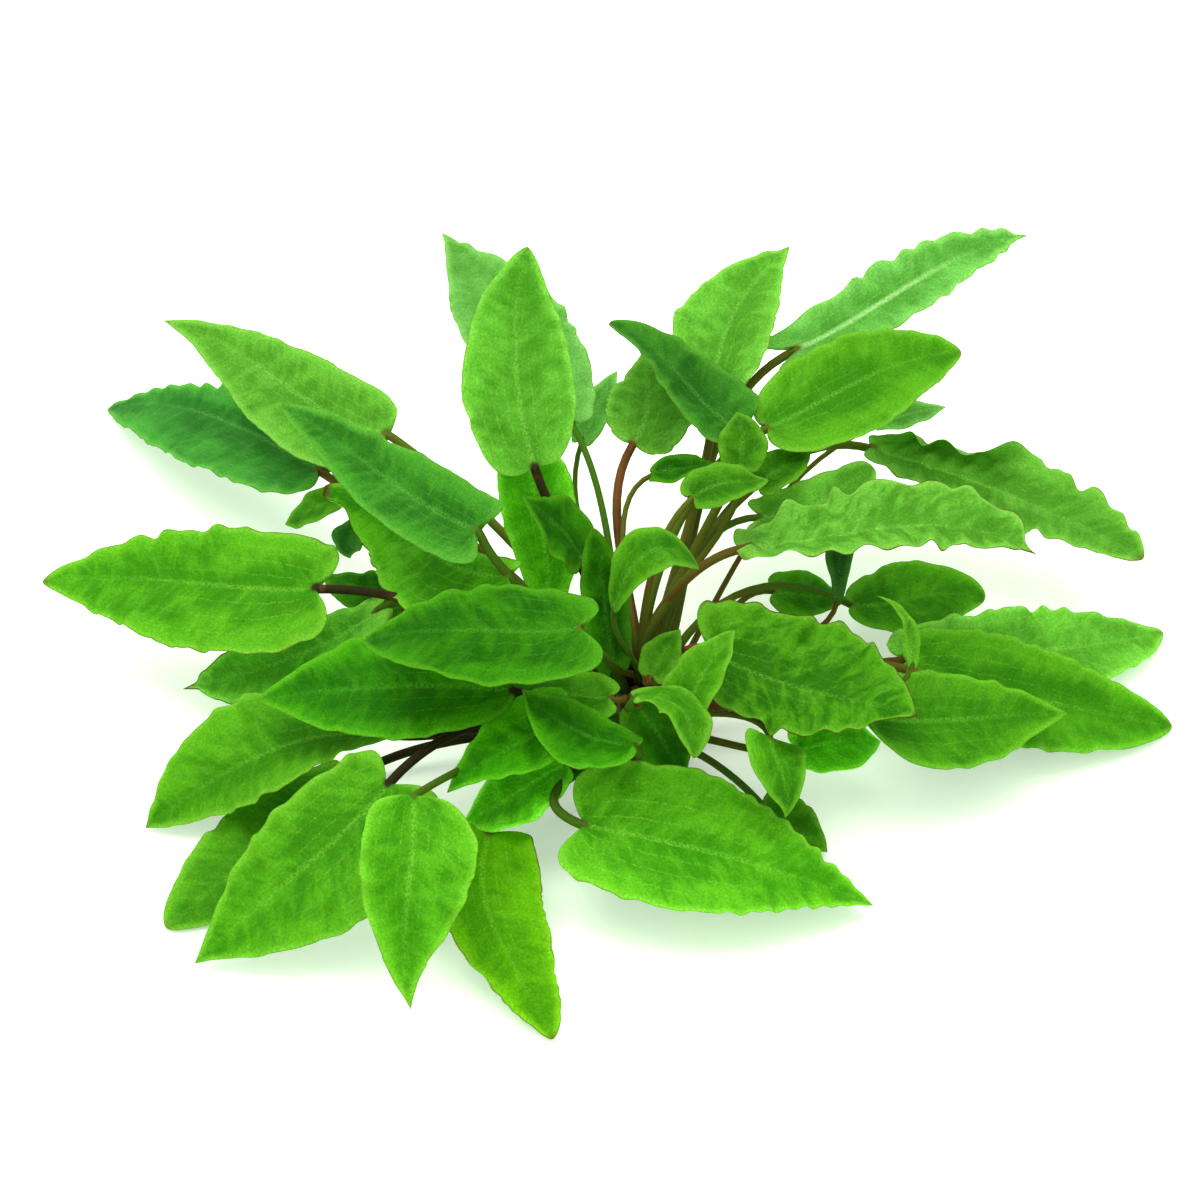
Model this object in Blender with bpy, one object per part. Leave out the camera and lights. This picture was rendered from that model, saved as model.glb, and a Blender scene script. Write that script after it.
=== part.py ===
"""Cryptocoryne: a rosette of stalked leaves on a short rootstock, resting on a flat surface.

The plant stands on the flat cut underside of its rootstock, at the origin, with +Z up and the
viewer on the -Y side. Each leaf is one solid: a round stalk that leaves the rootstock at its seat,
bends over to the collar and spreads there into a pointed blade. Every length in the leaf lists is
in millimetres, and every angle in degrees.
"""

import math
from dataclasses import dataclass

import bpy
import numpy as np

MM = 0.001

# The rootstock is a stub with a rounded top and a flat underside.
ROOTSTOCK_RADIUS = 7.5
ROOTSTOCK_HEIGHT = 17.0
ROOTSTOCK_SIDES = 16
ROOTSTOCK_LEVELS = (0.0, 0.25, 0.5, 0.72, 0.88, 0.97)

# Stalk seats stand clear of the rootstock by this much, measured level.
SEAT_GAP = 1.7

# A blade is this thick on its midrib near the collar, and thins to the tip share there.
BLADE_THICKNESS = 0.9
TIP_THICKNESS_SHARE = 0.35
HALFWAY_THICKNESS_SHARE = 0.7

# The outline is a sine stretched towards the collar, raised to a power that grows to the tip. Its
# base draws back along the stalk in two lobes over the first share of the length.
BASE_FULLNESS = 0.7
LOBE_SHARE = 0.3
LOBE_SCALE = 2.6

# Rows of points along a stalk and along a blade, as shares of its length.
STALK_ROWS = (0.0, 0.25, 0.5, 0.78, 1.0)
SHORT_STALK_ROWS = (0.0, 0.4, 0.75, 1.0)
BLADE_ROWS = (0.03, 0.11, 0.24, 0.4, 0.56, 0.72, 0.88)
SMALL_BLADE_ROWS = (0.05, 0.2, 0.42, 0.68, 0.88)
SMALL_LENGTH = 32.0

COLOURS = {
    "light": (0.13, 0.42, 0.05),
    "mid": (0.07, 0.30, 0.03),
    "dark": (0.03, 0.17, 0.015),
    "yellow": (0.22, 0.50, 0.03),
    "brown": (0.09, 0.05, 0.02),
}


@dataclass
class Leaf:
    """One leaf. Lengths in millimetres, angles in degrees."""

    name: str
    seat: tuple  # bearing round the rootstock, and height on it
    collar: tuple  # where the stalk becomes the blade
    tip: tuple
    width: float  # widest part of the flat blade
    arch: tuple = (3, 3)  # the midrib's rise above a straight line, one and two thirds along
    sweep: float = 0  # the midrib's bow to the right, seen from the collar
    roll: float = 0  # the blade turned about its midrib, right side up
    twist: float = 0  # further turn from collar to tip
    fold: float = 0.12  # slope of the halves above the midrib
    lobe: float = 0.14  # reach of the basal lobes back along the stalk, as a share of length
    belly: float = 0.38  # where the blade is widest, as a share of length
    taper: float = 0.45  # how much finer the outline runs out at the tip than at the base
    neck: float = 0.3  # share of the stalk that bends into line with the midrib
    stalk: float = 1.0  # radius of the stalk
    colour: str = "mid"


LEFT_LEAVES = (
    Leaf("leaf_left_back_low", (137, 4), (-71, 65, 18), (-129, 112, 1), 25, (6, 8), 0, 14,
         taper=0.2, colour="dark"),
    Leaf("leaf_left_back_high", (130, 9), (-55, 60, 40), (-113, 102, 40), 27, (-2, -2), -4, 14,
         lobe=0.06, belly=0.33, taper=0.7, colour="light"),
    Leaf("leaf_left_upper", (166, 14), (-33, 5, 53), (-80, 55, 52), 20, (1, 1), -5, 10,
         lobe=0.1, taper=0.7, colour="dark"),
    Leaf("leaf_left_frilled", (155, 11), (-30, 2, 34), (-71, 48, 31), 22, (2, 2), 0, 6,
         lobe=0.08),
    Leaf("leaf_left_small_back", (143, 8), (-66, 57, 27), (-82, 52, 17), 13, (1, 1), roll=20,
         stalk=0.7),
    Leaf("leaf_left_small_hanging", (150, 6), (-66, 53, 22), (-68, 49, 11), 10, (1, 1),
         lobe=0.05, belly=0.55, stalk=0.7, colour="dark"),
    Leaf("leaf_left_big", (168, 8), (-70, 15, 30), (-134, 29, 20), 31, (-1, 0), 0, 20),
    Leaf("leaf_left_tucked", (160, 5), (-53, 24, 16), (-72, 38, 14), 14, (1, 1), stalk=0.7,
         colour="dark"),
    Leaf("leaf_left_narrow", (175, 5), (-56, 20, 20), (-100, 7, 8), 14, (-2, -2), 0, 20, 30,
         stalk=0.8),
    Leaf("leaf_left_long", (184, 10), (-26, -18, 32), (-81, -15, 27), 24, (4, 3), 0, 14,
         lobe=0.08),
    Leaf("leaf_left_top", (195, 15), (-14, -17, 48), (-58, -13, 41), 28, (2, 1), 0, 14,
         belly=0.35),
)

FRONT_LEAVES = (
    Leaf("leaf_front_left_floor", (190, 5), (-51, -16, 22), (-106, -29, 1), 27, (3, 3), 0, 16,
         taper=0.2),
    Leaf("leaf_front_left_low", (199, 3), (-64, -15, 5), (-98, -57, 1), 23, (2, 2), 0, 0,
         fold=0.05),
    Leaf("leaf_front_left_big", (200, 7), (-54, -38, 24), (-91, -67, 2), 28, (4, 3), -5, 4),
    Leaf("leaf_front_near", (210, 5), (-44, -51, 35), (-46, -88, 12), 22, (4, 4), neck=0.2),
    Leaf("leaf_front_yellow", (235, 4), (-31, -43, 13), (-18, -86, 1), 19, (3, 2), 4,
         colour="yellow"),
    Leaf("leaf_front_right_big", (262, 5), (-12, -44, 18), (47, -53, 4), 31, (4, 3), 0, -10,
         lobe=0.15, belly=0.42, colour="light"),
    Leaf("leaf_front_folded", (236, 9), (-17, -30, 30), (-39, -43, 24), 16, (2, 2)),
    Leaf("leaf_front_under", (247, 6), (-15, -30, 20), (-39, -37, 12), 21, (1, 1), lobe=0.03),
    Leaf("leaf_front_dark", (256, 9), (-1, -31, 25), (-25, -23, 37), 18, (2, 2),
         colour="dark"),
    Leaf("leaf_front_small_lobed", (225, 13), (-7, -17, 28), (-18, -16, 29), 11, (1, 1),
         stalk=0.7),
    Leaf("leaf_front_pointed", (310, 9), (27, -26, 28), (30, -36, 12), 13, (1, 1), lobe=0.06,
         belly=0.27, stalk=0.7),
    Leaf("leaf_front_low_dark", (330, 4), (33, -18, 13), (51, -12, 9), 17, (1, 1), stalk=0.8,
         colour="dark"),
    Leaf("leaf_front_right_low", (312, 4), (26, -27, 9), (39, -37, 2), 16, (1, 1), stalk=0.8),
)

MIDDLE_LEAVES = (
    Leaf("leaf_middle_tall", (160, 16), (-22, 19, 62), (-24, 37, 106), 25, (2, -2), -3,
         lobe=0.1, belly=0.47, taper=0.25),
    Leaf("leaf_middle_behind_tall", (135, 15), (-22, 16, 28), (-24, 31, 65), 17, (2, 0),
         belly=0.5),
    Leaf("leaf_middle_dark", (110, 14), (-7, 17, 34), (-17, 20, 47), 11, (1, 1), stalk=0.7,
         colour="dark"),
    Leaf("leaf_middle_upright", (180, 17), (-8, 1, 31), (-10, 8, 53), 9, (1, 0), stalk=0.7,
         colour="dark"),
    Leaf("leaf_middle_arched", (265, 17), (-8, -1, 42), (12, 8, 42), 14, (14, 12), stalk=0.7),
    Leaf("leaf_middle_light", (310, 16), (6, -23, 36), (19, -12, 43), 12, (2, 2), stalk=0.7,
         colour="light"),
    Leaf("leaf_middle_tiny", (345, 17), (2, -12, 30), (8, -4, 36), 9, (1, 1), stalk=0.7),
    Leaf("leaf_middle_folded", (280, 15), (-3, -28, 41), (10, -39, 33), 16, (3, 3), stalk=0.8,
         colour="light"),
    Leaf("leaf_middle_low_dark", (258, 14), (-1, -15, 24), (7, -22, 16), 12, (1, 1), stalk=0.7,
         colour="dark"),
)

BACK_LEAVES = (
    Leaf("leaf_back_far", (108, 8), (-15, 56, 42), (-46, 113, 55), 24, (5, 2), lobe=0.06),
    Leaf("leaf_back_mottled", (76, 9), (18, 67, 46), (35, 101, 62), 26, (3, 1), -5,
         lobe=0.06, colour="light"),
    Leaf("leaf_back_dark_folded", (78, 12), (21, 44, 48), (-7, 73, 58), 21, (1, 0),
         lobe=0.04, belly=0.3, taper=0.6, neck=0.08, colour="dark"),
    Leaf("leaf_back_crenate", (92, 11), (-1, 54, 38), (7, 74, 50), 21, (2, 1), lobe=0.08),
    Leaf("leaf_back_thin", (100, 5), (-13, 70, 28), (-5, 88, 34), 8, (2, 1), stalk=0.6),
    Leaf("leaf_back_right_big", (57, 11), (32, 50, 46), (73, 72, 52), 28, (4, 4), 0, -16,
         colour="light"),
    Leaf("leaf_back_right_far", (66, 5), (34, 80, 46), (91, 108, 58), 19, (2, 4), 5, -16,
         lobe=0.06, belly=0.5, taper=0.1),
    Leaf("leaf_back_small_dark", (98, 15), (4, 44, 38), (16, 44, 44), 8, (1, 1), stalk=0.6,
         colour="dark"),
    Leaf("leaf_back_veined", (66, 17), (11, 21, 49), (28, 30, 52), 12, (2, 2), stalk=0.7),
    Leaf("leaf_back_veined_top", (62, 14), (22, 34, 46), (22, 45, 54), 12, (1, 1), stalk=0.7),
    Leaf("leaf_back_olive", (56, 7), (26, 40, 39), (38, 48, 42), 12, (1, 1), stalk=0.7),
    Leaf("leaf_back_half_hidden", (40, 9), (34, 36, 34), (52, 47, 40), 15, (2, 2), 0, -20,
         stalk=0.8),
)

RIGHT_LEAVES = (
    Leaf("leaf_right_ruffled", (22, 14), (20, 16, 42), (85, 18, 38), 23, (8, 8), 0, 8,
         lobe=0.05),
    Leaf("leaf_right_twisted", (43, 5), (54, 68, 30), (112, 32, 24), 22, (3, 3), 0, 0,
         lobe=0.04),
    Leaf("leaf_right_far_sliver", (57, 3), (57, 83, 22), (73, 87, 24), 9, (1, 1), stalk=0.6),
    Leaf("leaf_right_oval", (28, 6), (46, 28, 13), (78, 37, 10), 22, (0, 0), 0, -10,
         lobe=0.06, belly=0.45),
    Leaf("leaf_right_low_dark", (35, 3), (30, 35, 10), (46, 39, 9), 12, (1, 1), stalk=0.7,
         colour="dark"),
    Leaf("leaf_right_dark_sliver", (20, 9), (45, 22, 21), (44, 28, 34), 8, (1, 1), stalk=0.6,
         colour="dark"),
    Leaf("leaf_right_frilly", (12, 4), (58, 13, 14), (116, 32, 2), 24, (0, 0), 3, -8,
         taper=0.15, colour="light"),
    Leaf("leaf_right_long", (3, 7), (57, 3, 20), (116, 0, 1), 30, (2, 1), 0, -12),
    Leaf("leaf_right_light", (343, 7), (48, -19, 25), (91, -9, 16), 25, (-1, -1), 0, -14,
         lobe=0.08, colour="light"),
    Leaf("leaf_right_curl", (352, 14), (57, -15, 36), (49, -1, 43), 5, (4, 3), stalk=0.6),
    Leaf("leaf_right_mottled", (330, 15), (12, -4, 40), (57, -26, 32), 29, (1, 0), 1, -14,
         lobe=0.08, belly=0.35),
)


def unit(vectors):
    """The vectors, each at length one."""
    return vectors / np.linalg.norm(vectors, axis=-1, keepdims=True)


def bezier(points, t):
    """Places and directions along a cubic curve through four points."""
    a, b, c, d = (np.array(point, float) for point in points)
    t = np.asarray(t, float)[:, None]
    place = a * (1 - t) ** 3 + b * 3 * t * (1 - t) ** 2 + c * 3 * t**2 * (1 - t) + d * t**3
    slope = (b - a) * (1 - t) ** 2 + (c - b) * 2 * t * (1 - t) + (d - c) * t**2
    return place, unit(slope)


def rootstock_radius(height):
    """The rootstock's radius at a height: nearly upright below, rounded off at the top."""
    share = np.clip(height / ROOTSTOCK_HEIGHT, 0, 1)
    return ROOTSTOCK_RADIUS * (1 - share**3) ** 0.5


def blade_frame(leaf):
    """The blade's line from collar to tip, its length, and the up and right of that line."""
    line = np.subtract(leaf.tip, leaf.collar).astype(float)
    along = unit(line)
    up = unit(np.array([0.0, 0.0, 1.0]) - along[2] * along)
    return line, np.linalg.norm(line), up, np.cross(along, up)


def midrib(leaf, t):
    """The midrib, a cubic curve that bows up and sideways between collar and tip."""
    line, _, up, right = blade_frame(leaf)
    collar = np.array(leaf.collar, float)
    side = right * leaf.sweep
    points = (
        collar,
        collar + line / 3 + up * leaf.arch[0] + side,
        collar + line * 2 / 3 + up * leaf.arch[1] + side,
        collar + line,
    )
    return bezier(points, t)


def stalk_path(leaf, t):
    """The stalk, which rises from its seat and runs into the start of the midrib."""
    bearing = math.radians(leaf.seat[0])
    height = leaf.seat[1]
    out = np.array([math.cos(bearing), math.sin(bearing), 0.0])
    seat = out * (rootstock_radius(height) + SEAT_GAP)
    seat[2] = height
    lift = math.radians(15 + 4 * height)
    leaving = out * math.cos(lift) + np.array([0.0, 0.0, math.sin(lift)])
    collar = np.array(leaf.collar, float)
    reach = np.linalg.norm(collar - seat)
    arriving = midrib(leaf, [0.0])[1][0]
    points = (seat, seat + leaving * reach * 0.35, collar - arriving * reach * leaf.neck, collar)
    return bezier(points, t)


def turned(right, along, degrees):
    """The right and up of each row, turned about the path by the given angles."""
    right = unit(right - (right * along).sum(-1, keepdims=True) * along)
    up = np.cross(right, along)
    angle = np.radians(np.asarray(degrees, float))[:, None]
    return (
        right * np.cos(angle) + up * np.sin(angle),
        up * np.cos(angle) - right * np.sin(angle),
    )


def stalk_rings(leaf, rows):
    """Eight points round the stalk at each row, from its left side and on below it."""
    place, along = stalk_path(leaf, rows)
    right, up = turned(blade_frame(leaf)[3], along, [leaf.roll - leaf.twist / 2] * len(rows))
    angle = np.pi + np.arange(8) * np.pi / 4
    across = np.cos(angle)[None, :, None] * right[:, None, :]
    above = np.sin(angle)[None, :, None] * up[:, None, :]
    return place[:, None, :] + leaf.stalk * (across + above)


def blade_rings(leaf, rows):
    """Eight points round the blade at each row: left edge, three below, right edge, three above."""
    s = np.array(rows)
    place, along = midrib(leaf, s)
    _, length, _, level = blade_frame(leaf)
    right, up = turned(level, along, leaf.roll + leaf.twist * (s - 0.5))
    power = math.log(0.5) / math.log(leaf.belly)
    half_width = leaf.width / 2 * np.sin(np.pi * s**power) ** (BASE_FULLNESS + leaf.taper * s)
    basal = np.minimum(s / LOBE_SHARE, 1)
    backward = leaf.lobe * length * LOBE_SCALE * np.sqrt(basal) * (1 - basal)
    v = np.array([-1, -0.5, 0, 0.5, 1, 0.5, 0, -0.5])
    face = np.array([0, -1, -1, -1, 0, 1, 1, 1])
    share = np.where(np.abs(v) == 0.5, HALFWAY_THICKNESS_SHARE, 1.0)
    thickness = BLADE_THICKNESS * (1 - (1 - TIP_THICKNESS_SHARE) * s)
    across = v[None, :] * half_width[:, None] / math.hypot(1, leaf.fold)
    above = np.abs(across) * leaf.fold + face * share * thickness[:, None] / 2
    behind = backward[:, None] * v[None, :] ** 2
    return (
        place[:, None, :]
        + right[:, None, :] * across[:, :, None]
        + up[:, None, :] * above[:, :, None]
        - along[:, None, :] * behind[:, :, None]
    )


def closed_mesh(name, rings, tip):
    """A mesh through the rings, closed by a flat end at the first ring and a point at the tip."""
    count, sides = rings.shape[:2]
    points = np.vstack([rings.reshape(-1, 3), tip]) * MM
    faces = [list(range(sides))]
    for row in range(count - 1):
        for side in range(sides):
            here, there = row * sides, (row + 1) * sides
            after = (side + 1) % sides
            faces.append([here + side, there + side, there + after, here + after])
    last = (count - 1) * sides
    faces += [[last + side, count * sides, last + (side + 1) % sides] for side in range(sides)]
    mesh = bpy.data.meshes.new(name)
    mesh.from_pydata(points.tolist(), [], faces)
    mesh.update()
    return mesh


def finish(name, colour, roughness):
    """A plain surface of one colour."""
    material = bpy.data.materials.new(name)
    material.use_nodes = True
    shader = material.node_tree.nodes["Principled BSDF"]
    shader.inputs["Base Color"].default_value = (*COLOURS[colour], 1)
    shader.inputs["Roughness"].default_value = roughness
    shader.inputs["Metallic"].default_value = 0.0
    return material


def add_object(name, mesh, material):
    """Put a mesh in the scene as one named piece."""
    mesh.materials.append(material)
    piece = bpy.data.objects.new(name, mesh)
    bpy.context.scene.collection.objects.link(piece)
    return piece


def make_leaf(leaf):
    """One leaf, stalk and blade in one solid."""
    small = blade_frame(leaf)[1] < SMALL_LENGTH
    stalk = stalk_rings(leaf, SHORT_STALK_ROWS if small else STALK_ROWS)
    blade = blade_rings(leaf, SMALL_BLADE_ROWS if small else BLADE_ROWS)
    tip = midrib(leaf, [1.0])[0]
    mesh = closed_mesh(leaf.name, np.concatenate([stalk, blade]), tip)
    return add_object(leaf.name, mesh, finish(leaf.name + "_green", leaf.colour, 0.45))


def make_rootstock():
    """The short brown stub that carries every stalk."""
    angle = -np.arange(ROOTSTOCK_SIDES) * 2 * np.pi / ROOTSTOCK_SIDES
    rings = []
    for share in ROOTSTOCK_LEVELS:
        height = share * ROOTSTOCK_HEIGHT
        radius = rootstock_radius(height)
        level = np.full(ROOTSTOCK_SIDES, height)
        rings.append(np.stack([radius * np.cos(angle), radius * np.sin(angle), level], -1))
    mesh = closed_mesh("rootstock", np.array(rings), np.array([[0, 0, ROOTSTOCK_HEIGHT]]))
    mesh.shade_smooth()
    mesh.set_sharp_from_angle(angle=math.radians(50))
    return add_object("rootstock", mesh, finish("rootstock_brown", "brown", 0.7))


def clear_scene():
    """Start from an empty scene."""
    for piece in list(bpy.data.objects):
        bpy.data.objects.remove(piece, do_unlink=True)


clear_scene()
make_rootstock()
for group in (LEFT_LEAVES, FRONT_LEAVES, MIDDLE_LEAVES, BACK_LEAVES, RIGHT_LEAVES):
    for each in group:
        make_leaf(each)
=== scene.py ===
import math
from dataclasses import dataclass

import bpy
import numpy as np
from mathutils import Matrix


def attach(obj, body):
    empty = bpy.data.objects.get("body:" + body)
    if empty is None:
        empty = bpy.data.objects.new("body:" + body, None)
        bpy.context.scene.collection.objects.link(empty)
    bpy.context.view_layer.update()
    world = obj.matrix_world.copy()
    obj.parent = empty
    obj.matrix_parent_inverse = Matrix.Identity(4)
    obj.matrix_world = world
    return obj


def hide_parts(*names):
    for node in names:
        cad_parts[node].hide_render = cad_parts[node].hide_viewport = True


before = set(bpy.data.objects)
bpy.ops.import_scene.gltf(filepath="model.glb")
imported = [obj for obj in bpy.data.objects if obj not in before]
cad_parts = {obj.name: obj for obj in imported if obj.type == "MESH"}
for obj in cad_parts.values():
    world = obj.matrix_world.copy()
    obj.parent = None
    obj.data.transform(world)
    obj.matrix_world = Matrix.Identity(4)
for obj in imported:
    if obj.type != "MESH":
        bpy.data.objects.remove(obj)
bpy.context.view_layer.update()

# Rootstock
# The plant's crown: a short stub of brown, woody living tissue, ringed by the scars of old leaves.
# Every stalk grows out of it, and its flat cut underside stands on the surface.

MM = 0.001
CROWN_RADIUS = 7.5
CROWN_HEIGHT = 17.0
CROWN_SCARS = 7
BARK_BROWN = (0.060, 0.030, 0.012)
BARK_PALE = (0.160, 0.105, 0.045)


def crown_radius(height):
    """The radius falls from the foot to nothing at the top as the square root of 1 - (h / H)^3."""
    share = np.clip(height / CROWN_HEIGHT, 0, 1)
    return CROWN_RADIUS * (1 - share**3) ** 0.5


def loft(name, rings, tip):
    """A closed mesh through rings of points: quads between neighbouring rings, one face over the
    first ring, and triangles that draw the last ring in to the tip."""
    rows, around = rings.shape[:2]
    here = np.arange(rows * around).reshape(rows, around)
    beside = np.roll(here, -1, axis=1)
    quads = np.stack([here[:-1], here[1:], beside[1:], beside[:-1]], -1).reshape(-1, 4)
    fan = np.stack([here[-1], np.full(around, rows * around), beside[-1]], -1)
    points = np.vstack([rings.reshape(-1, 3), np.reshape(tip, (1, 3))]) * MM
    mesh = bpy.data.meshes.new(name)
    mesh.from_pydata(points.tolist(), [], [here[0].tolist()] + quads.tolist() + fan.tolist())
    mesh.shade_smooth()
    mesh.update()
    return mesh


def crown_rings(rows=60, around=96):
    """The crown's outline turned about Z, with a raised scar at each seventh of its height that
    tilts with the angle, and lengthwise furrows that are a sine of the angle."""
    share = np.linspace(0, 0.985, rows)[:, None] ** 0.8
    angle = -np.linspace(0, 2 * np.pi, around, endpoint=False)[None, :]
    scar = np.sin(np.pi * (share * CROWN_SCARS + 0.35 * np.sin(angle + 5 * share))) ** 8
    furrow = np.sin(angle * 13 + 4 * share) + 0.6 * np.sin(angle * 29 + 1.3)
    foot = np.clip(share * 12, 0, 1)
    radius = crown_radius(share * CROWN_HEIGHT) - foot * (0.7 - 0.6 * scar - 0.12 * furrow)
    radius = np.maximum(radius, 0.3)
    level = share * CROWN_HEIGHT * np.ones_like(angle)
    return np.stack([radius * np.cos(angle), radius * np.sin(angle), level], -1)


def add(tree, kind, *values, **settings):
    """Put a node in a tree. Settings are its own properties. Values go to its inputs in order: a
    socket is linked, a number or colour is set, and None leaves the input as it is."""
    node = tree.nodes.new(kind)
    for key, value in settings.items():
        setattr(node, key, value)
    for socket, value in zip(node.inputs, values):
        if isinstance(value, bpy.types.NodeSocket):
            tree.links.new(value, socket)
        elif value is not None:
            socket.default_value = value
    return node


def maths(tree, operation, *values):
    """The result of one sum on numbers."""
    return add(tree, "ShaderNodeMath", *values, operation=operation).outputs[0]


def rise(tree, value, low, high, start=0.0, end=1.0):
    """A smooth step from start to end while the value goes from low to high."""
    node = add(tree, "ShaderNodeMapRange", value, low, high, start, end, interpolation_type="SMOOTHSTEP")
    return node.outputs[0]


def tint(tree, share, first, second, how="MIX"):
    """Two colours mixed by a share."""
    node = tree.nodes.new("ShaderNodeMix")
    node.data_type = "RGBA"
    node.blend_type = how
    for index, value in ((0, share), (6, first), (7, second)):
        if isinstance(value, bpy.types.NodeSocket):
            tree.links.new(value, node.inputs[index])
        else:
            node.inputs[index].default_value = (*value, 1) if index else value
    return node.outputs[2]


def grain(tree, place, scale, detail=2.0, rough=0.5, shift=0.0):
    """A soft noise between 0 and 1 at a place."""
    node = add(tree, "ShaderNodeTexNoise", noise_dimensions="3D")
    tree.links.new(place, node.inputs["Vector"])
    node.inputs["Scale"].default_value = scale
    node.inputs["Detail"].default_value = detail
    node.inputs["Roughness"].default_value = rough
    node.inputs["Distortion"].default_value = shift
    return node.outputs[0]


def crown_bark():
    """Brown woody skin: blotches of pale and dark brown, with fine lengthwise fibres."""
    material = bpy.data.materials.new("crown_bark")
    material.use_nodes = True
    tree = material.node_tree
    shader = tree.nodes["Principled BSDF"]
    place = add(tree, "ShaderNodeTexCoord").outputs["Object"]
    along = add(tree, "ShaderNodeMapping", place)
    along.inputs["Scale"].default_value = (1, 1, 0.2)
    blotch = grain(tree, place, 260, 4)
    fibre = grain(tree, along.outputs[0], 1400, 3)
    share = rise(tree, maths(tree, "ADD", maths(tree, "MULTIPLY", blotch, 0.6),
                             maths(tree, "MULTIPLY", fibre, 0.4)), 0.35, 0.65)
    tree.links.new(tint(tree, share, BARK_BROWN, BARK_PALE), shader.inputs["Base Color"])
    bump = add(tree, "ShaderNodeBump")
    bump.inputs["Strength"].default_value = 0.6
    bump.inputs["Distance"].default_value = 0.0004
    tree.links.new(fibre, bump.inputs["Height"])
    tree.links.new(bump.outputs[0], shader.inputs["Normal"])
    shader.inputs["Roughness"].default_value = 0.75
    return material


def settle(name, mesh, node):
    """Put a mesh in the scene in place of its solid."""
    piece = bpy.data.objects.new(name, mesh)
    bpy.context.scene.collection.objects.link(piece)
    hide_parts(node)
    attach(piece, "root")
    return piece


crown = loft("crown", crown_rings(), (0, 0, CROWN_HEIGHT))
crown.materials.append(crown_bark())
settle("crown", crown, "rootstock")


# Leaves of the left side
# Each leaf is a round stalk and a soft green blade grown in one piece, rooted in the crown at its
# seat. The blade is about 0.4 mm thick, with its midrib raised underneath and a waved margin.

STALK_ROOTED = 2.4
BLADE_THICKNESS = 0.42
LOBE_SHARE = 0.3
LOBE_SCALE = 2.6
MIDRIB_SPREAD = 1.1
CREASE = 1.6
DRIP_WIDTH = 0.10


@dataclass
class Leaf:
    """One leaf. Lengths in millimetres, angles in degrees, shares of the blade's length or width."""

    name: str
    seat: tuple  # bearing round the crown, and height on it
    collar: tuple  # where the stalk becomes the blade
    tip: tuple
    width: float  # widest part of the flat blade
    arch: tuple = (3, 3)  # the midrib's rise above a straight line, one and two thirds along
    sweep: tuple = (0, 0)  # the midrib's bow to the right, one and two thirds along
    roll: float = 0  # the blade turned about its midrib, right side up
    twist: float = 0  # further turn from collar to tip
    fold: float = 0.1  # slope of the halves above the midrib
    cup: float = 0.0  # further rise of the margins, or their droop where it is negative
    lobe: float = 0.14  # reach of the basal lobes back along the stalk
    belly: float = 0.38  # where the blade is widest
    taper: float = 0.1  # how much finer the outline runs out at the tip than at the base
    skew: float = 0.0  # how much wider the right half is than the left
    wave: float = 1.0  # height of the margin's waves, against the usual one
    pitch: float = 7.0  # length of one wave
    quilt: float = 1.0  # depth of the soft dents between the veins, against the usual one
    nicks: float = 1.0  # depth of the margin's small teeth, against the usual one
    drip: float = 0.0  # share of the length that is a narrow drawn-out tip
    flap: tuple = (1, 0, 0.6, 0, 1)  # a margin turned up: right 1 or left -1, by how many degrees,
    #   from what share of the half width out, and between what shares of the length
    neck: float = 0.3  # share of the stalk that bends into line with the midrib
    hang: float = 0.0  # how far that bend hangs below the midrib's line
    stalk: float = 1.0  # radius of the stalk
    tone: str = "mid"
    glow: float = 1.0  # brightness against the others of its tone: partly the leaf's own colour, partly painted light that brightens leaves lying in shade
    stem: float = 0.5  # the stalk's colour, from green through olive to red brown
    brown: float = 0.3  # how brown the rim and tip are
    mottle: float = 1.0  # strength of the cross markings
    rib: float = 0.0  # how white the midrib is


def unit(vectors):
    """The vectors, each at length one."""
    return vectors / np.linalg.norm(vectors, axis=-1, keepdims=True)


def bezier(points, t):
    """Places and directions along a cubic curve through four points."""
    a, b, c, d = (np.array(point, float) for point in points)
    t = np.asarray(t, float)[:, None]
    place = a * (1 - t) ** 3 + b * 3 * t * (1 - t) ** 2 + c * 3 * t**2 * (1 - t) + d * t**3
    slope = (b - a) * (1 - t) ** 2 + (c - b) * 2 * t * (1 - t) + (d - c) * t**2
    return place, unit(slope)


def blade_frame(leaf):
    """The blade's line from collar to tip, its length, and the up and right of that line."""
    line = np.subtract(leaf.tip, leaf.collar).astype(float)
    along = unit(line)
    up = unit(np.array([0.0, 0.0, 1.0]) - along[2] * along)
    return line, np.linalg.norm(line), up, np.cross(along, up)


def midrib(leaf, t):
    """A cubic curve from collar to tip that bows up by the arch and sideways by the sweep."""
    line, _, up, right = blade_frame(leaf)
    collar = np.array(leaf.collar, float)
    points = (
        collar,
        collar + line / 3 + up * leaf.arch[0] + right * leaf.sweep[0],
        collar + line * 2 / 3 + up * leaf.arch[1] + right * leaf.sweep[1],
        collar + line,
    )
    return bezier(points, t)


def stalk_path(leaf, t):
    """A cubic curve that leaves the crown at the seat, steeper the higher it sits, and arrives in
    line with the midrib."""
    bearing = math.radians(leaf.seat[0])
    height = leaf.seat[1]
    out = np.array([math.cos(bearing), math.sin(bearing), 0.0])
    seat = out * max(crown_radius(height) + 1.7 - STALK_ROOTED, 0.6)
    seat[2] = height
    lift = math.radians(15 + 4 * height)
    leaving = out * math.cos(lift) + np.array([0.0, 0.0, math.sin(lift)])
    collar = np.array(leaf.collar, float)
    reach = np.linalg.norm(collar - seat)
    arriving = midrib(leaf, [0.0])[1][0]
    bend = collar - arriving * reach * leaf.neck - np.array([0.0, 0.0, leaf.hang])
    return bezier((seat, seat + leaving * reach * 0.35, bend, collar), t)


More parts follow.
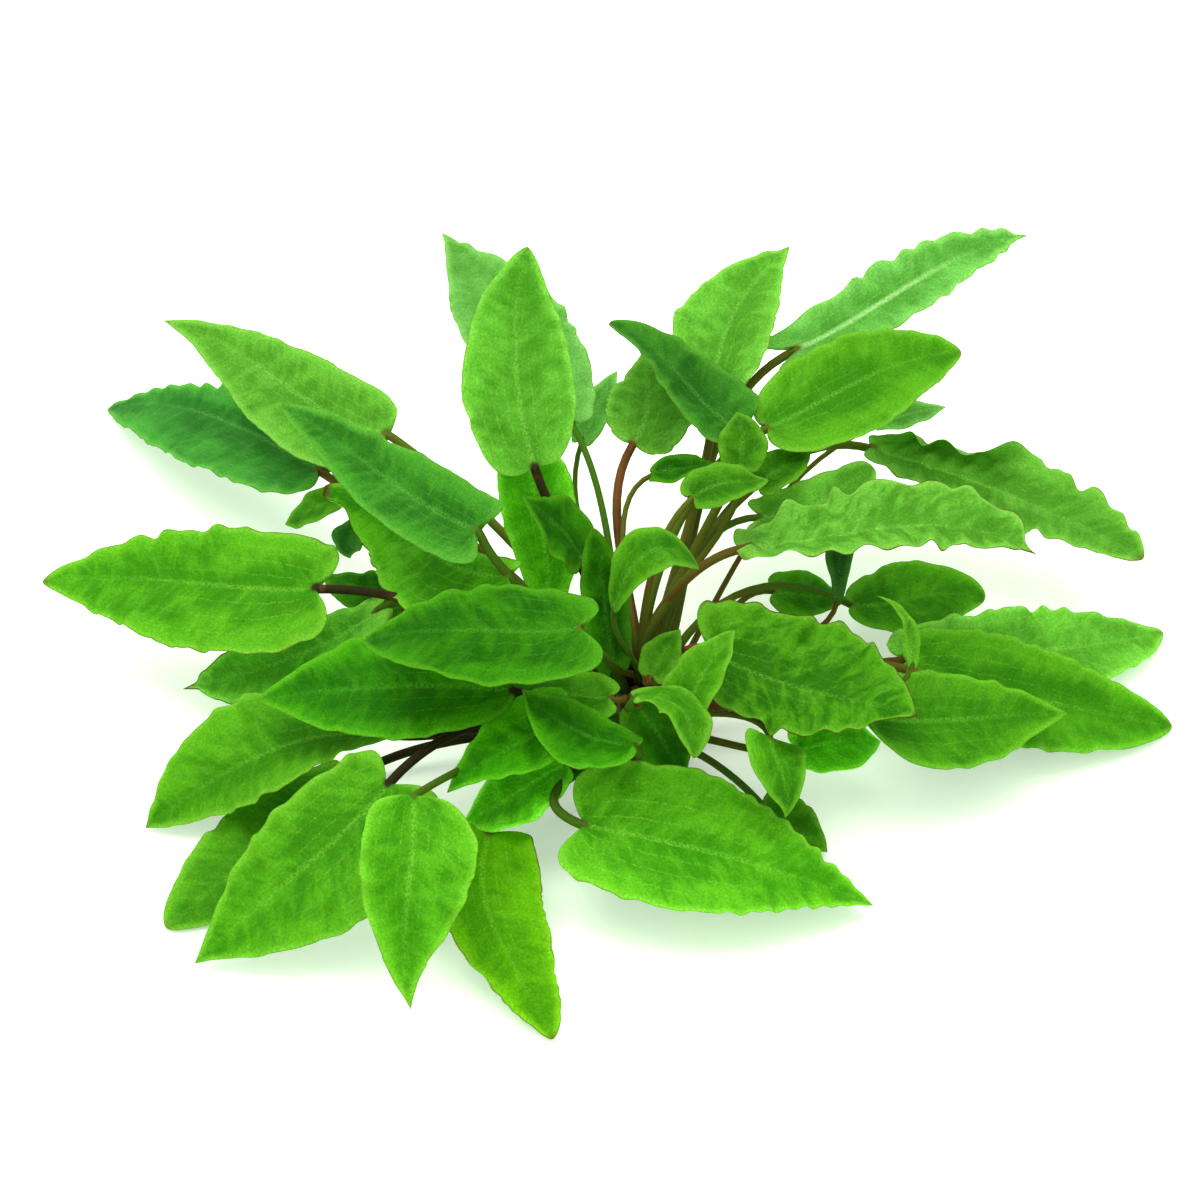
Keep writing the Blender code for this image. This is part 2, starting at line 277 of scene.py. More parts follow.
def turned(right, along, degrees):
    """The right and up of each row, square to the path and turned about it by the given angles."""
    right = unit(right - (right * along).sum(-1, keepdims=True) * along)
    up = np.cross(right, along)
    angle = np.radians(np.asarray(degrees, float))[:, None]
    return (
        right * np.cos(angle) + up * np.sin(angle),
        up * np.cos(angle) - right * np.sin(angle),
    )


def ramp(value, low, high):
    """A smooth step from 0 to 1 while the value goes from low to high."""
    share = np.clip((value - low) / (high - low), 0, 1)
    return share * share * (3 - 2 * share)


def quilting(along, across, rng):
    """The soft dents of a leaf: five sines of the place, of seeded directions and of lengths
    from 4 to 9 mm, mirrored at the midrib but for a phase."""
    total = np.zeros(np.broadcast_shapes(along.shape, across.shape))
    for _ in range(5):
        heading = rng.uniform(-1.2, 1.2)
        step = 2 * np.pi / rng.uniform(4, 9)
        flow = along * math.cos(heading) - np.abs(across) * math.sin(heading)
        total = total + np.sin(step * flow + rng.uniform(0, 6.3) + 1.5 * (across > 0))
    return total


def turned_up(beyond, degrees):
    """How far out and up a margin reaches at a distance beyond its crease, and how far it has turned
    there. It follows an arc over the length of the crease and then runs straight."""
    angle = np.radians(np.maximum(degrees, 0.1))
    turn = angle * np.minimum(beyond / CREASE, 1)
    straight = np.maximum(beyond - CREASE, 0)
    out = CREASE / angle * np.sin(turn) + straight * np.cos(angle)
    return out, CREASE / angle * (1 - np.cos(turn)) + straight * np.sin(angle), turn


def leaf_rings(leaf, seed):
    """Rings of points from the rooted end of the stalk to the tip, with what each point is for the
    skin: its place along and across in millimetres, its share along and across the blade, whether
    it is underneath, its distance from the margin, and how far it is stalk.

    Round a ring the angle a runs from 180 to 540 degrees. On the stalk a point is at the radius
    times (cos a, sin a). On the blade cos a is spread to v, denser at the midrib, and the point is
    at v times the half width, raised by half the thickness times the sign and a power of sin a.
    The half width is the width times sin(pi s^p) to a power that changes towards the tip, with small
    teeth, and a drawn-out tip goes on from it as a narrow wedge. The margin is raised and lowered by
    a sum of sines of the length, times |v| to the power 2.5, and the quilting is added between the
    midrib and the margin. A flap is turned up about its crease."""
    rng = np.random.default_rng(seed)
    length = blade_frame(leaf)[1]
    large = length > 32
    around = 48 if large else 32
    angle = np.pi + np.arange(around) * 2 * np.pi / around
    cosine, sine = np.cos(angle)[None, :], np.sin(angle)[None, :]

    t = np.linspace(0, 1, 26 if large else 16)[:-1]
    place, along = stalk_path(leaf, t)
    reach = np.linalg.norm(np.subtract(leaf.collar, place[0])) * 1.1
    right, up = turned(blade_frame(leaf)[3], along, [leaf.roll - leaf.twist / 2] * len(t))
    radius = (leaf.stalk * (1.0 + 0.5 * (1 - t) ** 4))[:, None]
    stalk = (place[:, None] + right[:, None] * (radius * cosine)[..., None]
             + up[:, None] * (radius * sine)[..., None])
    stalk_marks = np.zeros((len(t), around, 7))
    stalk_marks[..., 0] = ((t - 1) * reach)[:, None]
    stalk_marks[..., 1] = leaf.stalk * (angle[None, :] - np.pi)
    stalk_marks[..., 6] = 1.0

    rows = int(length * 1.7) + 26
    s = np.append((np.arange(rows) / rows) ** 1.3, [0.9935, 0.998])
    place, along = midrib(leaf, s)
    right, up = turned(blade_frame(leaf)[3], along, leaf.roll + leaf.twist * (s - 0.5))
    s = s[:, None]
    open_out = ramp(s, 0.0, 0.05)
    v = cosine * (1 - open_out + open_out * np.abs(cosine) ** 0.4)
    a, side = np.abs(v), np.sign(v)
    power = math.log(0.5) / math.log(leaf.belly)
    outline = np.sin(np.pi * np.minimum(s / (1 - leaf.drip), 1) ** power) ** (0.7 + leaf.taper * s)
    tail = ramp(s, 0.4, 1 - leaf.drip) * np.clip((1 - s) / (leaf.drip + 0.001), 0, 1)
    outline = np.maximum(outline, DRIP_WIDTH * tail * (leaf.drip > 0))
    phase = rng.uniform(0, 2 * np.pi, 8)
    shift = np.where(side > 0, 2.1, 0.0)
    run = 2 * np.pi * s * length / leaf.pitch
    run = run + 0.9 * np.sin(run * 0.37 + phase[5])
    tooth = np.abs(np.sin(run * 0.9 + phase[1] + shift + 1.4 * np.sin(run * 0.31 + phase[2])))
    scallop = 0.22 * np.sin(run * 0.4 + phase[0] + shift)
    scallop = scallop + 0.28 * max(leaf.wave - 1, 0) * np.sin(run + phase[3] + shift + 0.8)
    nick = (scallop
            + leaf.nicks * 0.16 * (tooth**0.8 - 0.6) * ramp(outline, 0.1, 0.5))
    half = (leaf.width / 2 * outline + nick * ramp(outline, 0.0, 0.4)) * (1 + side * leaf.skew)
    core = leaf.stalk * (1 - s) ** 0.7
    half = np.sqrt(np.maximum(half, 0) ** 2 + core**2)

    basal = np.minimum(s / LOBE_SHARE, 1)
    behind = leaf.lobe * length * LOBE_SCALE * np.sqrt(basal) * (1 - basal) * a**2
    ease = np.sin(np.pi * s**0.7) ** 0.5
    swing = 0.65 + 0.45 * np.sin(run * 0.23 + phase[7] + shift)
    ripple = swing * (np.sin(run + phase[3] + shift) + 0.3 * np.sin(run * 1.7 + phase[4] - shift))
    high = leaf.wave * leaf.width * 0.022
    quilt = quilting(s * length - behind, v * half, rng)
    lift = half * (leaf.fold * (np.sqrt(a**2 + 0.012) - 0.11) + leaf.cup * a**2)
    lift = lift + ease * (high * ripple * a**2.5 + 0.16 * leaf.quilt * quilt * ramp(a, 0, 0.25))
    across = half * v / math.hypot(1, leaf.fold)
    flap_side, flap_turn, flap_crease, flap_from, flap_to = leaf.flap
    window = ramp(s, flap_from - 0.08, flap_from + 0.08) * (1 - ramp(s, flap_to - 0.08, flap_to + 0.08))
    beyond = np.maximum(np.abs(across) - flap_crease * half, 0)
    out, raised, turn = turned_up(beyond, flap_turn * window * (side == flap_side))

    thick = BLADE_THICKNESS / 2 * (1 - 0.4 * s)
    swell = 1 - ramp(s, 0.0, 0.07)
    thick = thick + (core - thick) * swell
    body = thick * np.sign(sine) * np.abs(sine) ** (0.55 + 0.45 * swell)
    ridge = 0.85 * core * np.exp(-((across / (MIDRIB_SPREAD * core + 0.2)) ** 2)) * (1 - swell)
    body = body - ridge * (sine < -1e-6) - 0.25 * ridge * (sine > 1e-6)
    outward = across + side * (out - beyond - body * np.sin(turn))
    upward = lift + raised + body * np.cos(turn)
    blade = (place[:, None] + right[:, None] * outward[..., None]
             + up[:, None] * upward[..., None] - along[:, None] * behind[..., None])
    marks = np.zeros((len(s), around, 7))
    marks[..., 0] = s * length - behind
    marks[..., 1] = across
    marks[..., 2] = s
    marks[..., 3] = a
    marks[..., 4] = (sine < 0) * 1.0
    marks[..., 5] = half * (1 - a)
    marks[..., 6] = (1 - ramp(s, 0.0, 0.045)) * np.exp(-((across / (1.2 * leaf.stalk)) ** 2))

    end, tip_mark = midrib(leaf, [1.0])[0], np.array([[length, 0, 1, 0, 0, 0, 0]])
    rings = np.concatenate([stalk, blade])
    marks = np.vstack([np.concatenate([stalk_marks, marks]).reshape(-1, 7), tip_mark])
    return rings, end, marks


def marked(mesh, marks, seed, leaf):
    """Keep what each point is on the mesh: places in millimetres as a UV map, shares as colours."""
    corner = np.empty(len(mesh.loops), np.int32)
    mesh.loops.foreach_get("vertex_index", corner)
    flat = marks[:, :2] + [seed * 37.0, seed * 11.0]
    mesh.uv_layers.new(name="blade").data.foreach_set("uv", flat[corner].astype(np.float32).ravel())
    same = np.ones(len(marks))
    for name, parts in (
        ("shares", (marks[:, 2], marks[:, 3], marks[:, 4], np.clip(marks[:, 5] / 10, 0, 1))),
        ("growth", (marks[:, 1] / 20 + 0.5, marks[:, 6], same * leaf.brown, same)),
        # The first channel is the leaf's brightness: partly its own tone, partly painted light for leaves
        # lying in shade.
        ("nature", (same * leaf.glow / 2, same * leaf.stem, same * leaf.mottle / 2, same * leaf.rib)),
    ):
        store = mesh.attributes.new(name, "FLOAT_COLOR", "POINT")
        store.data.foreach_set("color", np.stack(parts, -1).astype(np.float32).ravel())


def blade_skin():
    """The node group for the skin of a leaf, from its UV map and its attributes.

    Slanted streaks, clouds and the nearness of the margin choose between the deep and the bright
    green; the lighter green near the margin is partly the leaf's own paler margin and partly
    painted light shining through the thin edge. A fine grain speckles it, scaled by each leaf's
    brightness, which is partly its own tone and partly painted light that brightens leaves lying
    in shade. Pale beaded veins follow the midrib and lines at even shares of the half width. The
    rim is lighter still, painted backlight through the thin margin, and brown at its very edge.
    The stalk goes from green through olive to brown."""
    group = bpy.data.node_groups.new("blade_skin", "ShaderNodeTree")
    for name, kind in (("Bright", "NodeSocketColor"), ("Deep", "NodeSocketColor"),
                       ("Rim", "NodeSocketColor"), ("Vein", "NodeSocketColor")):
        group.interface.new_socket(name, in_out="INPUT", socket_type=kind)
    group.interface.new_socket("Color", in_out="OUTPUT", socket_type="NodeSocketColor")
    group.interface.new_socket("Height", in_out="OUTPUT", socket_type="NodeSocketFloat")
    given = add(group, "NodeGroupInput").outputs
    flat = add(group, "ShaderNodeUVMap", uv_map="blade").outputs[0]
    shares = add(group, "ShaderNodeAttribute", attribute_name="shares")
    growth = add(group, "ShaderNodeAttribute", attribute_name="growth")
    nature = add(group, "ShaderNodeAttribute", attribute_name="nature")
    s, a, under = add(group, "ShaderNodeSeparateColor", shares.outputs["Color"]).outputs
    margin = maths(group, "MULTIPLY", shares.outputs["Alpha"], 10)
    across, stalk, brown = add(group, "ShaderNodeSeparateColor", growth.outputs["Color"]).outputs
    glow, stem, mottle = add(group, "ShaderNodeSeparateColor", nature.outputs["Color"]).outputs
    away = maths(group, "MULTIPLY", maths(group, "ABSOLUTE", maths(group, "SUBTRACT", across, 0.5)), 20)
    u, x, _ = add(group, "ShaderNodeSeparateXYZ", flat).outputs

    slant = maths(group, "SUBTRACT", u, maths(group, "MULTIPLY", away, 0.5))
    streak_place = add(group, "ShaderNodeCombineXYZ", maths(group, "MULTIPLY", slant, 0.42),
                       maths(group, "MULTIPLY", x, 0.20), 0.0).outputs[0]
    streak = grain(group, streak_place, 1.0, 2.5, 0.55, 0.25)
    cloud_place = add(group, "ShaderNodeCombineXYZ", maths(group, "MULTIPLY", u, 0.07),
                      maths(group, "MULTIPLY", x, 0.12), 3.0).outputs[0]
    cloud = grain(group, cloud_place, 1.0, 1.5)
    fine = grain(group, flat, 1.8, 3.0, 0.7)

    light = maths(group, "ADD", maths(group, "MULTIPLY", maths(group, "SUBTRACT", streak, 0.5),
                                      maths(group, "MULTIPLY", mottle, 2.7)),
                  maths(group, "MULTIPLY", maths(group, "SUBTRACT", cloud, 0.5), 1.6))
    # Lighter towards the margin: partly the leaf's own paler margin, partly painted light through the thin
    # edge.
    light = maths(group, "ADD", light, rise(group, a, 0.25, 1.0, 0.33, 0.82))
    colour = tint(group, rise(group, light, 0.0, 1.0), given["Deep"], given["Bright"])

    beads = rise(group, fine, 0.38, 0.62, 0.20, 1.0)
    near = maths(group, "PINGPONG", a, 0.12)
    side_vein = maths(group, "MULTIPLY", rise(group, near, 0.0, 0.020, 1.0, 0.0),
                      rise(group, s, 0.05, 0.8, 0.50, 0.08))
    main_vein = maths(group, "MULTIPLY", rise(group, away, 0.1, 1.0, 0.58, 0.0),
                      rise(group, s, 0.2, 0.98, 1.0, 0.2))
    vein = maths(group, "MULTIPLY", maths(group, "MAXIMUM", side_vein, main_vein), beads)
    colour = tint(group, vein, colour, given["Vein"])
    pith = maths(group, "MULTIPLY", nature.outputs["Alpha"], rise(group, away, 0.15, 0.9, 1.0, 0.0))
    pith = maths(group, "MULTIPLY", pith, rise(group, s, 0.35, 0.8, 1.0, 0.0))
    colour = tint(group, pith, colour, PITH_WHITE)
    # Painted backlight: the margin is tinted lighter, standing in for light shining through the thin edge.
    colour = tint(group, rise(group, margin, 0.1, 2.2, 0.75, 0.0), colour, given["Rim"])
    colour = tint(group, maths(group, "MULTIPLY", under, 0.30), colour, given["Vein"])
    # The fine grain is scaled by the leaf's brightness, which is partly its own tone and partly painted
    # light that brightens leaves lying in shade.
    grain_and_painted_light = maths(group, "MULTIPLY", rise(group, fine, 0.30, 0.70, 0.80, 1.20),
                  maths(group, "MULTIPLY", glow, 2.0))
    grain_and_painted_light = add(group, "ShaderNodeCombineColor", grain_and_painted_light, grain_and_painted_light, grain_and_painted_light).outputs[0]
    colour = tint(group, 1.0, colour, grain_and_painted_light, "MULTIPLY")

    rusty = maths(group, "MULTIPLY", rise(group, margin, 0.08, 0.42, 1.0, 0.0),
                  rise(group, maths(group, "ADD", cloud, maths(group, "MULTIPLY", brown, 0.15)), 0.48, 0.60))
    burnt = rise(group, s, 0.965, 0.995)
    rusty = maths(group, "MULTIPLY", rusty, rise(group, s, 0.02, 0.12))
    rusty = maths(group, "MULTIPLY", brown, maths(group, "MAXIMUM", rusty, burnt))
    colour = tint(group, rusty, colour, RIM_BROWN)
    bark = grain(group, add(group, "ShaderNodeCombineXYZ", maths(group, "MULTIPLY", u, 0.08),
                            maths(group, "MULTIPLY", x, 0.25), 0.0).outputs[0], 1.0, 2.0)
    red = maths(group, "ADD", stem, maths(group, "MULTIPLY", maths(group, "SUBTRACT", bark, 0.5), 0.8))
    wood = tint(group, rise(group, red, 0.0, 0.35), STEM_GREEN, STEM_OLIVE)
    wood = tint(group, rise(group, red, 0.35, 0.7), wood, STEM_BROWN)
    wood = tint(group, rise(group, red, 0.75, 1.0), wood, STEM_DARK)
    colour = tint(group, rise(group, stalk, 0.1, 0.8), colour, wood)

    height = maths(group, "ADD", maths(group, "MULTIPLY", fine, 0.3),
                   maths(group, "MULTIPLY", streak, 0.6))
    height = maths(group, "SUBTRACT", height, maths(group, "MULTIPLY", vein, 0.5))
    add(group, "NodeGroupOutput", colour, height)
    return group


STEM_GREEN = (0.070, 0.190, 0.012)
STEM_OLIVE = (0.125, 0.155, 0.014)
STEM_BROWN = (0.210, 0.085, 0.022)
STEM_DARK = (0.034, 0.030, 0.008)
RIM_BROWN = (0.110, 0.055, 0.012)
PITH_WHITE = (0.50, 0.72, 0.34)
BLADE_SKIN = blade_skin()

# For each tone: bright green, deep green, the lighter rim, which is painted backlight through the thin
# margin, and vein.
TONES = {
    "pale": ((0.165, 0.460, 0.090), (0.090, 0.310, 0.035), (0.25, 0.56, 0.12), (0.24, 0.54, 0.12)),
    "light": ((0.150, 0.450, 0.040), (0.074, 0.285, 0.015), (0.24, 0.56, 0.07), (0.24, 0.55, 0.08)),
    "fresh": ((0.105, 0.390, 0.010), (0.040, 0.230, 0.003), (0.19, 0.50, 0.03), (0.18, 0.49, 0.04)),
    "mid": ((0.078, 0.310, 0.007), (0.026, 0.165, 0.002), (0.14, 0.42, 0.02), (0.13, 0.41, 0.03)),
    "deep": ((0.044, 0.255, 0.002), (0.013, 0.125, 0.001), (0.09, 0.35, 0.01), (0.08, 0.34, 0.02)),
    "dark": ((0.052, 0.245, 0.030), (0.018, 0.125, 0.012), (0.10, 0.33, 0.04), (0.09, 0.32, 0.05)),
    "cool": ((0.052, 0.262, 0.016), (0.019, 0.135, 0.007), (0.10, 0.35, 0.03), (0.09, 0.34, 0.04)),
    "yellow": ((0.130, 0.420, 0.003), (0.058, 0.265, 0.001), (0.21, 0.50, 0.01), (0.20, 0.50, 0.02)),
}


def blade_material(tone):
    """A thin living blade: satin skin that lets part of the light through as yellower green."""
    bright, deep, backlit_rim, pale = TONES[tone]
    material = bpy.data.materials.new("blade_" + tone)
    material.use_nodes = True
    tree = material.node_tree
    shader = tree.nodes["Principled BSDF"]
    skin = add(tree, "ShaderNodeGroup", node_tree=BLADE_SKIN)
    for name, value in (("Bright", bright), ("Deep", deep), ("Rim", backlit_rim), ("Vein", pale)):
        skin.inputs[name].default_value = (*value, 1)
    tree.links.new(skin.outputs["Color"], shader.inputs["Base Color"])
    bump = add(tree, "ShaderNodeBump")
    bump.inputs["Strength"].default_value = 0.4
    bump.inputs["Distance"].default_value = 0.0003
    tree.links.new(skin.outputs["Height"], bump.inputs["Height"])
    tree.links.new(bump.outputs[0], shader.inputs["Normal"])
    shader.inputs["Roughness"].default_value = 0.5
    shader.inputs["Specular IOR Level"].default_value = 0.04
    glow = tint(tree, 1.0, skin.outputs["Color"], (1.0, 1.0, 0.5), "MULTIPLY")
    through = add(tree, "ShaderNodeBsdfTranslucent", glow)
    both = add(tree, "ShaderNodeMixShader", 0.5, shader.outputs[0], through.outputs[0])
    tree.links.new(both.outputs[0], tree.nodes["Material Output"].inputs["Surface"])
    return material


BLADES = {}
GROWN = []


def grow(leaf):
    """Make one leaf, give it its skin and put it in place of its solid."""
    seed = len(GROWN) + 1
    rings, end, marks = leaf_rings(leaf, seed)
    mesh = loft(leaf.name[5:], rings, end)
    marked(mesh, marks, seed, leaf)
    if leaf.tone not in BLADES:
        BLADES[leaf.tone] = blade_material(leaf.tone)
    mesh.materials.append(BLADES[leaf.tone])
    GROWN.append(settle(leaf.name[5:], mesh, leaf.name))


LEFT_SIDE = (
    Leaf("leaf_left_back_low", (137, 4), (-74, 67, 20.5), (-131.5, 115.5, 1), 27, (4.5, 9), (3, 3.5), 9,
         9, lobe=0.1, taper=0, skew=-0.25, tone="dark", glow=1.45, stem=0.6, mottle=0.6, nicks=1.5),
    Leaf("leaf_left_back_high", (130, 9), (-57, 58.5, 38.5), (-112.5, 101, 39), 23.5, (-4.5, 0),
         (-4, 7.5), 26, -2, lobe=0.04, belly=0.28, taper=0.2, skew=-0.1, wave=0.7, neck=0.1, hang=4,
         tone="light", glow=1, stem=0.3),
    Leaf("leaf_left_upper", (166, 14), (-34.5, 6.5, 54.5), (-80, 53.5, 51), 18, (-0.5, -1.5), (-4.5, 3),
         23, -17, lobe=0.1, belly=0.24, taper=-0.1, wave=1.5, glow=1.26, stem=0.1, hang=15, neck=0.1,
         pitch=12, tone="cool"),
    Leaf("leaf_left_frilled", (155, 11), (-28, 4, 44), (-71.5, 49, 30.5), 19, (-2, -1.5), (-12.5, 14),
         34, 10, lobe=0.08, belly=0.26, taper=-0.3, skew=-0.45, wave=1.6, pitch=9, tone="mid",
         glow=1.55, brown=1, nicks=2, flap=(-1, 100, 0.5, 0.8, 1.2), stem=0.1, hang=10, neck=0.1),
    Leaf("leaf_left_small_back", (143, 8), (-69, 53, 23.5), (-81.5, 53, 16.5), 9.5, (2, 1.5), (0, -1.5),
         12, 2, belly=0.4, taper=0.2, stalk=0.7),
    Leaf("leaf_left_small_hanging", (150, 6), (-65, 51.5, 20), (-66.5, 48, 10.5), 8, (1, 0.5),
         (-1, 2.5), 0, 0, lobe=0.04, belly=0.56, taper=0.3, stalk=0.7, tone="dark"),
    Leaf("leaf_left_big", (168, 8), (-70.5, 15.5, 30), (-133.5, 28.5, 20.5), 32, (-1.5, -1.5),
         (-0.5, 7.5), 18, -4, lobe=0.12, belly=0.34, taper=0, skew=-0.1, wave=1.6, pitch=8,
         tone="fresh", glow=1.1, stem=1, brown=0.5, nicks=1.6),
    Leaf("leaf_left_tucked", (160, 5), (-53, 24, 16), (-72, 38, 14), 14, (1, 1), (0, 0), 0, 0,
         taper=0.2, stalk=0.7, tone="deep"),
    Leaf("leaf_left_narrow", (175, 5), (-58.5, 19.5, 19.5), (-101, 6.5, 8.5), 17, (-3, -2), (-3, -1),
         19, 31, belly=0.52, taper=-0.2, skew=-0.05, stalk=0.8, tone="light", glow=1.3, nicks=3,
         brown=1, wave=1.6, pitch=6, drip=0.07, stem=0.1, mottle=1.6),
    Leaf("leaf_left_long", (184, 10), (-27, -18.5, 31.5), (-81.5, -15.5, 26.5), 26, (4, 3.5), (0.5, -1),
         19, 2, lobe=0.02, belly=0.42, taper=0.2, wave=0.4, nicks=0.6, tone="deep", glow=1.4, stem=1.1),
    Leaf("leaf_left_top", (195, 15), (-13, -16.5, 47.5), (-58, -15, 43), 28.5, (0.5, 7), (-1.5, -3), 3,
         -13, lobe=0.16, belly=0.4, taper=0, skew=-0.15, wave=0.5, nicks=0.7, tone="deep", glow=1.1,
         stem=0.15, neck=0.1, hang=9, stalk=0.8),
)
for leaf in LEFT_SIDE:
    grow(leaf)


# Leaves of the front
# They bend low over the surface, and three of them touch it with their tips. Each is one grown
# piece like those of the left side.

FRONT = (
    Leaf("leaf_front_left_floor", (190, 5), (-53.5, -19, 19.5), (-106, -28.5, 1), 26.5, (7, 5),
         (7, 2.5), 10, 26, lobe=0, belly=0.5, taper=0.2, skew=0.15, tone="fresh", glow=1.05, stem=1.1),
    Leaf("leaf_front_left_low", (199, 3), (-64, -17, 3), (-98.5, -57, 1), 25, (1.5, 1.5), (-1, 0), 5, 7,
         fold=0.05, belly=0.42, taper=-0.1, skew=-0.05, tone="fresh", glow=1.05, stem=1.1),
    Leaf("leaf_front_left_big", (200, 7), (-52.5, -38, 24), (-91.5, -67.5, 2), 31, (3.5, 3),
         (-5.5, -1.5), 15, -5, belly=0.36, taper=0.3, skew=-0.15, tone="fresh", glow=1.15, stem=1.1),
    Leaf("leaf_front_near", (210, 5), (-46.5, -51.5, 34), (-46, -89, 13), 23.5, (5, 5), (-1.5, 3.5), 14,
         -5, lobe=0.02, belly=0.3, taper=0.4, skew=-0.1, neck=0.15, tone="fresh", glow=1.25, stem=0.15,
         stalk=0.8, wave=1.4, hang=12),
    Leaf("leaf_front_yellow", (235, 4), (-32, -39, 10), (-18.5, -86.5, 1), 21.5, (3, 1.5), (10.5, 2.5),
         3, 7, lobe=0.1, belly=0.3, taper=-0.1, skew=-0.1, tone="yellow", glow=1.2, stem=0.1, neck=0.2,
         hang=3, nicks=2.2, brown=0.6),
    Leaf("leaf_front_right_big", (262, 5), (-12.5, -44, 18), (47.5, -53, 3.5), 35, (4, 1.5), (1, -2),
         -4, 32, lobe=0.12, belly=0.36, taper=0.2, skew=-0.05, wave=0.6, neck=0.45, hang=-6,
         tone="fresh", glow=1.35, stem=0.1),
    Leaf("leaf_front_folded", (236, 9), (-15, -24.5, 30), (-40.5, -39, 22.5), 19, (2.5, 1.5),
         (-0.5, 1.5), 2, -15, belly=0.3, taper=0.2, skew=0.05, tone="deep", glow=1.9, wave=0.4,
         stem=0.1, neck=0.15),
    Leaf("leaf_front_under", (247, 6), (-16, -27.5, 19), (-38, -34.5, 9), 21, (2, 0.5), (0, -3), -3, 5,
         lobe=0.06, belly=0.4, taper=0.2, glow=2, tone="fresh"),
    Leaf("leaf_front_dark", (256, 9), (-2, -33, 30), (-25, -27, 40.5), 20, (-6, -2), (0.5, -2.5), -5, 9,
         lobe=0.12, belly=0.46, taper=0.2, skew=-0.2, tone="deep", glow=1.4, wave=0.2, nicks=0.3,
         neck=0.1, hang=8, stem=0.1, stalk=0.8),
    Leaf("leaf_front_small_lobed", (225, 13), (-7, -17, 28), (-32, -14, 27), 15, (1, 1), (0, 0), 0, 0,
         taper=0.2, stalk=0.7, tone="mid", glow=1.3),
    Leaf("leaf_front_pointed", (310, 9), (26.5, -26.5, 25.5), (29.5, -38.5, 14.5), 16, (5, 3.5),
         (1.5, -2.5), 26, -12, lobe=0.1, belly=0.22, taper=0.2, skew=-0.05, wave=0.3, stalk=0.7,
         glow=1.35, stem=0.2),
    Leaf("leaf_front_low_dark", (330, 4), (33.5, -17.5, 13.5), (51.5, -11.5, 10), 18, (1.5, 2.5),
         (0.5, 0), -4, -2, belly=0.4, taper=0.2, stalk=0.8, glow=1.9, stem=0.3, tone="fresh"),
    Leaf("leaf_front_right_low", (312, 4), (25, -28, 8), (39, -36.5, 2), 15.5, (0.5, 0.5), (2, -0.5), 2,
         0, taper=0.2, stalk=0.8, tone="fresh", stem=0.1, glow=0.8),
)
for leaf in FRONT:
    grow(leaf)


# Leaves of the middle
# The youngest leaves, small and upright, from the top of the crown, and one tall one that stands
# free of the rest. They hide the crown from above.

MIDDLE = (
    Leaf("leaf_middle_tall", (160, 16), (-23, 19, 62), (-24, 36.5, 106), 24, (3.5, -1.5), (-4, -4.5),
         -11, 5, lobe=0.06, taper=0, tone="light", glow=1.2, stem=0.95),
    Leaf("leaf_middle_behind_tall", (135, 15), (-20.5, 16.5, 28.5), (-26, 32.5, 66.5), 17, (2, 0),
         (2, -1), 1, 1, belly=0.5, taper=0.2, wave=0.5, tone="fresh", glow=1.6, stem=0.2),
    Leaf("leaf_middle_dark", (110, 14), (-13, 9.5, 43.5), (-25.5, 13.5, 58.5), 16.5, (1, 2),
         (2.5, -1.5), 1, -3, taper=0.4, skew=0.05, stalk=0.7, tone="deep", stem=0.2),
    Leaf("leaf_middle_upright", (180, 17), (-6, -4, 26), (-10.5, 8.5, 53.5), 11, (0.5, -0.5), (-1, 1),
         0, 2, belly=0.42, taper=-0.1, stalk=0.7, tone="deep"),
    Leaf("leaf_middle_arched", (265, 17), (-6, -2.5, 40), (12, 8.5, 42.5), 12, (17, 16), (-1, 3.5), -12,
         -22, lobe=0.06, belly=0.48, taper=-0.1, skew=-0.05, wave=0.3, stalk=0.7, glow=1.15, stem=0.15),
    Leaf("leaf_middle_light", (310, 16), (9, -25.5, 32.5), (19, -12.5, 43.5), 15, (3, 1), (-0.5, -0.5),
         21, 10, belly=0.34, taper=0, skew=-0.15, stalk=0.7, tone="fresh", stem=0.2),
    Leaf("leaf_middle_tiny", (345, 17), (2, -12, 30), (8, -4, 36), 9, (1, 1), (0, 0), 0, 0, taper=0.2,
         stalk=0.7),
    Leaf("leaf_middle_folded", (280, 15), (-1.5, -28.5, 39.5), (10, -41, 34.5), 13.5, (1, 3.5),
         (-8.5, -4), 23, -8, belly=0.4, taper=-0.1, skew=-0.05, stalk=0.7, tone="fresh", neck=0.15,
         stem=0, wave=0.8, hang=10),
    Leaf("leaf_middle_low_dark", (258, 14), (-1, -15, 24), (9, -26, 13), 15, (1, 1), (0, 0), 0, 0,
         taper=0.2, stalk=0.7, tone="deep"),
)
for leaf in MIDDLE:
    grow(leaf)


# Leaves of the back
# The longest stalks carry them up and away. They fan out behind the middle, and cross each other
# at their bases.

